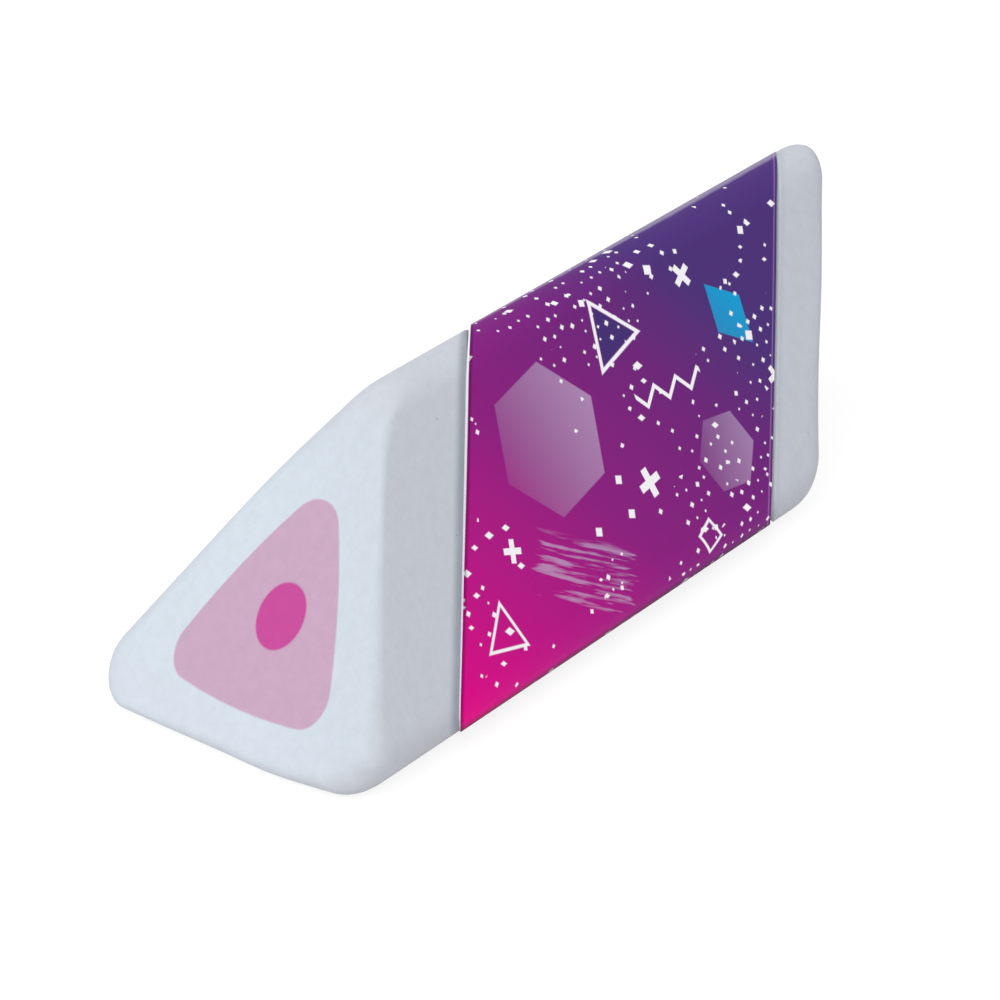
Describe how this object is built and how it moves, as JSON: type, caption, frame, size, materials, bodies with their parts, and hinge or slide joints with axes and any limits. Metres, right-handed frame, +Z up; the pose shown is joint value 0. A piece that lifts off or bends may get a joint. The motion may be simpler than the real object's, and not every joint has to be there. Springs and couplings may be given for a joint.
{
  "type": "sleeved block eraser",
  "caption": "Three-sided block eraser with leaning ends and a coloured core in layered rubber, held in a printed card sleeve that slides along it.",
  "frame": {"origin": "on the underside of the sleeve, halfway along and across the bar's lower face", "axes": "+X along the bar, the way both ends lean; +Y to the back, where the sleeve's seam is; +Z up to the ridge"},
  "size_m": [0.0608, 0.0218, 0.0194],
  "materials": {
    "white_rubber": "matte, faintly mottled, soft edges",
    "pink_rubber": "matte",
    "magenta_rubber": "matte",
    "printed_card": "satin print outside, bare white card inside",
    "glue": "dried film"
  },
  "bodies": {
    "sleeve": {"card_sleeve": "printed_card", "seam_glue": "glue"},
    "eraser": {"eraser_jacket": "white_rubber", "eraser_middle": "pink_rubber", "eraser_core": "magenta_rubber"}
  },
  "joints": [
    {"name": "eraser_slide", "type": "slide", "parent": "sleeve", "child": "eraser", "axis": [1, 0, 0], "range_m": [-0.0398, 0.0461]}
  ]
}
